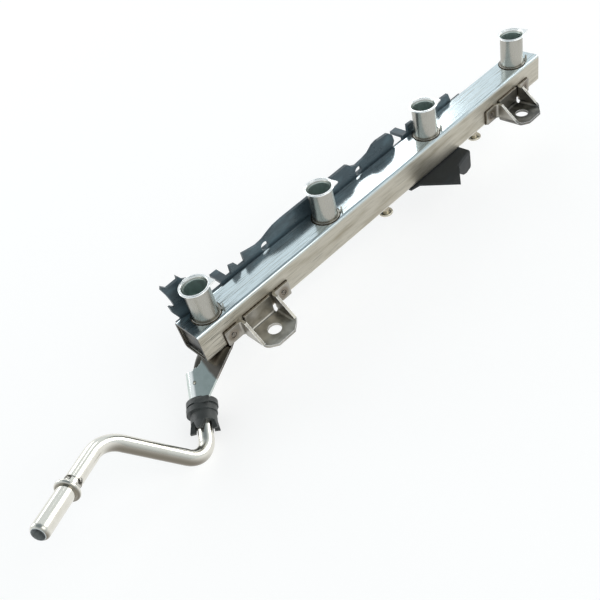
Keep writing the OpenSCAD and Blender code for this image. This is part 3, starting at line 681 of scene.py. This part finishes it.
class Strip:
    """Closed round or flat-topped strip carried along a path, such as a braze bead or a moulded strap."""

    STEP_MM: float = 0.3
    FEWEST: int = 28
    MEAN_REACH: int = 2
    SIDES: int = 16
    SQUARENESS: float = 0.8
    RIPPLES: tuple[Triple, ...] = ((0.14, 2.3, 0.0), (0.09, 5.1, 1.0))
    WELD_M: float = 1e-7

    def __init__(self, name: str, path: np.ndarray, up: np.ndarray, width: float, height: float,
                 closed: bool = False, ripple: float = 1.0) -> None:
        """Carries the profile along the path.

        The path is sampled about every 0.3 mm and its corners are rounded by a running mean over five
        samples. A point is centre(s) + r(s) * (width * c(t) * across(s) + height * c(t - 90 deg) * up),
        where c(t) = sign(cos t) * |cos t| ** 0.8, across is the path's normal in its plane and
        r(s) = 1 + ripple * (0.14 sin(2.3 s) + 0.09 sin(5.1 s + 1)), falling to nothing at an open path's
        ends as a round end does.

        Args:
            name: the piece's name.
            path: corners of the path, mm.
            up: direction that the strip stands up in.
            width: half of the strip's width, mm.
            height: half of the strip's height, mm.
            closed: whether the path ends where it starts.
            ripple: share of the bead's rippling.
        """
        corners = np.vstack([path, path[:1]]) if closed else np.asarray(path, float)
        run = np.r_[0, np.cumsum(np.linalg.norm(np.diff(corners, axis=0), axis=1))]
        count = max(int(run[-1] / self.STEP_MM), self.FEWEST)
        s = np.linspace(0, run[-1], count, endpoint=not closed)
        centre = np.stack([np.interp(s, run, corners[:, k]) for k in range(3)], 1)
        reach = self.MEAN_REACH
        steps = range(-reach, reach + 1)
        if closed:
            centre = sum(np.roll(centre, k, axis=0) for k in steps) / len(steps)
            along = np.roll(centre, -1, axis=0) - np.roll(centre, 1, axis=0)
            taper = np.ones(count)
        else:
            centre[reach:-reach] = sum(centre[reach + k:count - reach + k] for k in steps) / len(steps)
            along = np.gradient(centre, axis=0)
            ends = np.minimum(s, run[-1] - s) / max(width, height)
            taper = np.sqrt(np.clip(1 - (1 - np.clip(ends, 0, 1)) ** 2, 0, 1))
        across = np.cross(along, up)
        across /= np.linalg.norm(across, axis=1)[:, None]
        t = np.linspace(0, 2 * np.pi, self.SIDES, endpoint=False)
        c, u = (np.sign(f) * np.abs(f) ** self.SQUARENESS for f in (np.cos(t), np.sin(t)))
        waves = sum(size * np.sin(rate * s + start) for size, rate, start in self.RIPPLES)
        r = taper * (1 + ripple * waves)
        ring = width * c[:, None] * across[:, None, :] + height * u[:, None] * np.asarray(up, float)
        self.piece = self.skin(name, centre[:, None, :] + r[:, None, None] * ring, closed)

    def dress(self, material: bpy.types.Material, slot: str) -> None:
        """Gives the strip its material and its place on the part.

        Args:
            material: the strip's material.
            slot: not used.
        """
        self.piece.data.materials.append(material)
        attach(self.piece, "root")
        LOG.info("laid %s", self.piece.name)

    @classmethod
    def skin(cls, name: str, points: np.ndarray, closed: bool) -> bpy.types.Object:
        """Joins rings of points into a closed skin, its ends drawn to a point where the path is open.

        Args:
            name: the object's name.
            points: rings by points by 3, mm.
            closed: whether the last ring joins the first.

        Returns:
            The mesh object, its faces outwards.
        """
        rings, sides = points.shape[:2]
        i, j = np.meshgrid(np.arange(rings if closed else rings - 1), np.arange(sides), indexing="ij")
        k, l = (i + 1) % rings, (j + 1) % sides
        quads = np.stack([i * sides + j, i * sides + l, k * sides + l, k * sides + j], -1).reshape(-1, 4)
        mesh = bpy.data.meshes.new(name)
        mesh.from_pydata((points.reshape(-1, 3) * MM).tolist(), [], quads.tolist())
        build = bmesh.new()
        build.from_mesh(mesh)
        bmesh.ops.remove_doubles(build, verts=build.verts, dist=cls.WELD_M)
        bmesh.ops.recalc_face_normals(build, faces=build.faces)
        build.to_mesh(mesh)
        build.free()
        mesh.polygons.foreach_set("use_smooth", [True] * len(mesh.polygons))
        piece = bpy.data.objects.new(name, mesh)
        bpy.context.collection.objects.link(piece)
        return piece


@dataclass(frozen=True)
class Bead:
    """One braze bead: its path in its plane, the plane and its level, and the bead's radius."""

    path: list[Pair]
    facing: Facing
    level_mm: float
    radius_mm: float
    closed: bool = True


@dataclass
class Seams:
    """Braze beads that join the cups, the feet, the caps and the pipe to the tube."""

    foot_bead_mm: float = 0.42
    ear_x_mm: Pair = (14.6, 24.6)
    ear_z_mm: Pair = (1.5, 11.4)
    web_half_mm: float = 9.8
    web_z_mm: Pair = (1.4, 11.8)
    cap_bead_mm: float = 0.24
    cap_sink_mm: float = 0.3
    cap_clear_mm: float = 0.2
    cup_bead_mm: float = 0.4
    cup_ring_mm: float = 8.85
    pipe_bead_mm: float = 0.7
    pipe_ring_mm: float = 4.75

    def build(self) -> None:
        """Lays every bead and dresses it."""
        metal = BrazeMetal().material()
        for name, bead in {**self.foot_beads(), **self.cap_beads(), **self.ring_beads()}.items():
            path = bead.facing.lift(bead.path, bead.level_mm)
            strip = Strip(name, path, bead.facing.up(), bead.radius_mm, bead.radius_mm, bead.closed)
            strip.dress(metal, "rail_steel")

    def foot_beads(self) -> dict[str, Bead]:
        """Returns the beads round each foot's two ears and its web, by name."""
        beads = {}
        for side, x in (("inlet", -PLAN.foot_x_mm), ("far", PLAN.foot_x_mm)):
            (near, away), (low, high) = self.ear_x_mm, self.ear_z_mm
            for hand, m in (("left", -1), ("right", 1)):
                ear = [(x + m * u, z) for u, z in ((near, low), (away, low), (away, high), (near, high))]
                beads[f"{side}_foot_{hand}_ear_seam"] = self.foot_bead(ear)
            half, (low, high) = self.web_half_mm, self.web_z_mm
            web = [(x - half, low), (x - half, high), (x + half, high), (x + half, low)]
            beads[f"{side}_foot_web_seam"] = self.foot_bead(web)
        return beads

    def foot_bead(self, path: list[Pair]) -> Bead:
        """Returns an open bead on the tube's front."""
        return Bead(path, Facing.FRONT, PLAN.front_y_mm, self.foot_bead_mm, closed=False)

    def cap_beads(self) -> dict[str, Bead]:
        """Returns the bead between each end cap and the tube's wall, by name."""
        inner = PLAN.wall_mm + self.cap_clear_mm
        y = (PLAN.front_y_mm + inner, PLAN.back_y_mm - inner)
        z = (PLAN.under_z_mm + inner, PLAN.top_z_mm - inner)
        mouth = [(y[0], z[0]), (y[1], z[0]), (y[1], z[1]), (y[0], z[1])]
        level = PLAN.half_mm - self.cap_sink_mm
        return {f"{name}_cap_seam": Bead(mouth, Facing.END, m * level, self.cap_bead_mm)
                for name, m in (("inlet", -1), ("far", 1))}

    def ring_beads(self) -> dict[str, Bead]:
        """Returns the bead round each cup and round the pipe's root, by name."""
        beads = {}
        for i, x in enumerate(PLAN.cup_x_mm, 1):
            ring = self.circle(x, PLAN.cup_y_mm, self.cup_ring_mm)
            beads[f"cup_{i}_seam"] = Bead(ring, Facing.TOP, PLAN.top_z_mm, self.cup_bead_mm)
        x, y, z = PLAN.pipe_root_mm
        beads["pipe_seam"] = Bead(self.circle(x, y, self.pipe_ring_mm), Facing.TOP, z, self.pipe_bead_mm)
        return beads

    @staticmethod
    def circle(x: float, y: float, radius: float, count: int = 72) -> list[Pair]:
        """Returns points round a circle: centre + radius * (cos a, sin a)."""
        a = np.linspace(0, 2 * np.pi, count, endpoint=False)
        return list(zip(x + radius * np.cos(a), y + radius * np.sin(a)))


@dataclass
class ClipStrap:
    """Moulded strap of the clip that lies over the support bracket's tongue.

    Its ends are given along and across the bracket's sloping arm, from the arm's foot.
    """

    down: Triple = (-0.739, -0.498, -0.454)
    left: Triple = (-0.559, 0.829, 0.0)
    inward: Triple = (0.376, 0.254, -0.891)
    ends_mm: tuple[Pair, Pair] = ((30.8, 5.6), (28.2, -4.2))
    width_mm: float = 1.9
    height_mm: float = 1.1
    lift_mm: float = 0.5

    def build(self, material: bpy.types.Material) -> None:
        """Lays the strap across the tongue.

        Args:
            material: the clip's own plastic.
        """
        foot, down, left, inward = map(np.array, (PLAN.arm_foot_mm, self.down, self.left, self.inward))
        path = np.array([foot + x * down + y * left - self.lift_mm * inward for x, y in self.ends_mm])
        strap = Strip("clip_strap", path, -inward, self.width_mm, self.height_mm, ripple=0.0)
        strap.dress(material, "clip_plastic")


@dataclass(frozen=True)
class Softbox:
    """Square lamp that faces the part's middle, placed by its bearing from +X and its height in degrees."""

    name: str
    bearing: float
    height: float
    size_m: float
    power_w: float
    colour: str = "#ffffff"
    distance_m: float = 1.4

    def hang(self) -> None:
        """Adds the lamp to the scene."""
        data = bpy.data.lights.new(self.name, "AREA")
        data.energy, data.size, data.color = self.power_w, self.size_m, linear(self.colour)[:3]
        lamp = bpy.data.objects.new(self.name, data)
        a, e = math.radians(self.bearing), math.radians(self.height)
        away = Vector((math.cos(a) * math.cos(e), math.sin(a) * math.cos(e), math.sin(e)))
        lamp.location = away * self.distance_m
        lamp.rotation_euler = (-away).to_track_quat("-Z", "Y").to_euler()
        bpy.context.collection.objects.link(lamp)


@dataclass
class Studio:
    """Plain pale floor, soft lamps and the camera that the photograph was taken with."""

    camera_mm: Triple = (-260.9, -253.8, 288.5)
    right: Triple = (0.695, -0.6858, -0.2159)
    forward: Triple = (0.3915, 0.6128, -0.6864)
    lens_mm: float = 43.65
    sensor_mm: float = 36.0
    nearest_m: float = 0.01
    floor_z_mm: float = -31.7
    floor_half_m: float = 3.0
    floor_colour: str = "#f4f4f3"
    floor_shown: str = "#ffffff"
    floor_glow: float = 1.15
    floor_share: float = 0.6
    sky_low: str = "#e6edf0"
    sky_high: str = "#7f8a90"
    sky_turn: Pair = (0.6, 0.97)
    lamps: tuple[Softbox, ...] = (
        Softbox("softbox_back", 45.3, 34.3, size_m=0.26, power_w=0.64),
        Softbox("softbox_left", 121.0, 18.0, size_m=0.6, power_w=2.4),
        Softbox("softbox_right", -10.0, 19.0, size_m=0.75, power_w=4.4, colour="#fffdf9"),
        Softbox("softbox_far", 85.0, 16.0, size_m=0.5, power_w=1.4),
        Softbox("softbox_front", -80.0, 45.0, size_m=0.9, power_w=3.0, colour="#fffaf2"),
    )

    def build(self) -> None:
        """Builds the floor, the sky, the lamps and the camera."""
        self.floor()
        self.sky()
        for lamp in self.lamps:
            lamp.hang()
        self.camera()

    def floor(self) -> None:
        """Lays the floor under the part."""
        half, z = self.floor_half_m, self.floor_z_mm * MM
        corners = [(-half, -half, z), (half, -half, z), (half, half, z), (-half, half, z)]
        mesh = bpy.data.meshes.new("floor")
        mesh.from_pydata(corners, [], [(0, 1, 2, 3)])
        floor = bpy.data.objects.new("floor", mesh)
        bpy.context.collection.objects.link(floor)
        mesh.materials.append(self.floor_material())

    def floor_material(self) -> bpy.types.Material:
        """Returns matt pale paint, lit and shadowed, and lifted to white for the camera and for shine."""
        material = bpy.data.materials.new("pale_floor")
        material.use_nodes = True
        tree = material.node_tree
        tree.nodes.remove(tree.nodes["Principled BSDF"])
        matt = add_node(tree, "ShaderNodeBsdfDiffuse", {"Color": linear(self.floor_colour)}).outputs[0]
        white = {"Color": linear(self.floor_shown), "Strength": self.floor_glow}
        glow = add_node(tree, "ShaderNodeEmission", white).outputs[0]
        ray = add_node(tree, "ShaderNodeLightPath").outputs
        seen = ray["Is Camera Ray"]
        for kind in ("Is Glossy Ray", "Is Transmission Ray"):
            either = add_node(tree, "ShaderNodeMath", {0: seen, 1: ray[kind]}, operation=Sum.LARGER.value)
            seen = either.outputs[0]
        share = add_node(tree, "ShaderNodeMath", {0: seen, 1: self.floor_share}, operation=Sum.TIMES.value)
        mix = add_node(tree, "ShaderNodeMixShader", {0: share.outputs[0], 1: matt, 2: glow}).outputs[0]
        tree.links.new(mix, tree.nodes["Material Output"].inputs["Surface"])
        return material

    def sky(self) -> None:
        """Lights the scene with a plain sky, pale at the horizon and greyer overhead."""
        world = bpy.data.worlds.new("studio_sky")
        bpy.context.scene.world = world
        world.use_nodes = True
        tree = world.node_tree
        bearing = add_node(tree, "ShaderNodeTexCoord").outputs["Generated"]
        height = add_node(tree, "ShaderNodeSeparateXYZ", {0: bearing}).outputs["Z"]
        low, high = self.sky_turn
        share = add_node(tree, "ShaderNodeMapRange", {"Value": height, "From Min": low, "From Max": high},
                         interpolation_type="SMOOTHSTEP").outputs[0]
        colours = {0: share, 6: linear(self.sky_low), 7: linear(self.sky_high)}
        colour = add_node(tree, "ShaderNodeMix", colours, data_type="RGBA").outputs[2]
        tree.links.new(colour, tree.nodes["Background"].inputs["Color"])
        tree.nodes["Background"].inputs["Strength"].default_value = 1.0

    def camera(self) -> None:
        """Places the camera, worked out from the part's own edges in the picture."""
        data = bpy.data.cameras.new("camera")
        data.lens, data.sensor_width, data.clip_start = self.lens_mm, self.sensor_mm, self.nearest_m
        camera = bpy.data.objects.new("camera", data)
        back = -Vector(self.forward).normalized()
        right = Vector(self.right)
        right = (right - right.dot(back) * back).normalized()
        turn = Matrix((right, back.cross(right), back)).transposed().to_4x4()
        camera.matrix_world = Matrix.Translation(Vector(self.camera_mm) * MM) @ turn
        bpy.context.collection.objects.link(camera)
        bpy.context.scene.camera = camera


class FuelRail:
    """The whole part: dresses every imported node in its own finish."""

    def finishes(self) -> dict[str, object]:
        """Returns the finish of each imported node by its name."""
        table = {
            "rail_tube": RailSteel(),
            "inlet_end_cap": CapSteel(),
            "far_end_cap": CapSteel(),
            "inlet_pipe": PipeSteel(),
            "pipe_support_bracket": ZincPlate(),
            "pipe_clip": DarkPolymer("moulded_clip", "#3a3c3b", "#4c4e4c", roughness=0.42),
            "harness_tray": DarkPolymer("moulded_tray", "#3f4c53", "#55676f", roughness=0.3),
            "connector_bracket": DarkPolymer("black_coated_sheet", "#292b2c", "#323536", 0.46, shine=0.2),
            "tray_stud_1": StudSteel(),
            "tray_stud_2": StudSteel(),
            "foot_bracket_inlet": FootSteel(-PLAN.foot_x_mm),
            # painted shade: the far foot's plate is coloured darker than the inlet foot's
            "foot_bracket_far": FootSteel(PLAN.foot_x_mm, plate="#646360"),
        }
        for i, x in enumerate(PLAN.cup_x_mm, 1):
            table[f"injector_cup_{i}"] = CupSteel((x, PLAN.cup_y_mm))
        return table

    def dress(self) -> None:
        """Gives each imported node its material."""
        for name, finish in self.finishes().items():
            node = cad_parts[name]
            node.data.materials.clear()
            node.data.materials.append(finish.material())
            LOG.info("dressed %s", name)


def main() -> None:
    """Builds the looks in order."""
    logging.basicConfig(level=logging.INFO)
    bpy.context.scene.view_settings.view_transform = "Standard"
    Studio().build()
    FuelRail().dress()
    Seams().build()
    ClipStrap().build(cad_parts["pipe_clip"].data.materials[0])


if __name__ == "__main__":
    main()
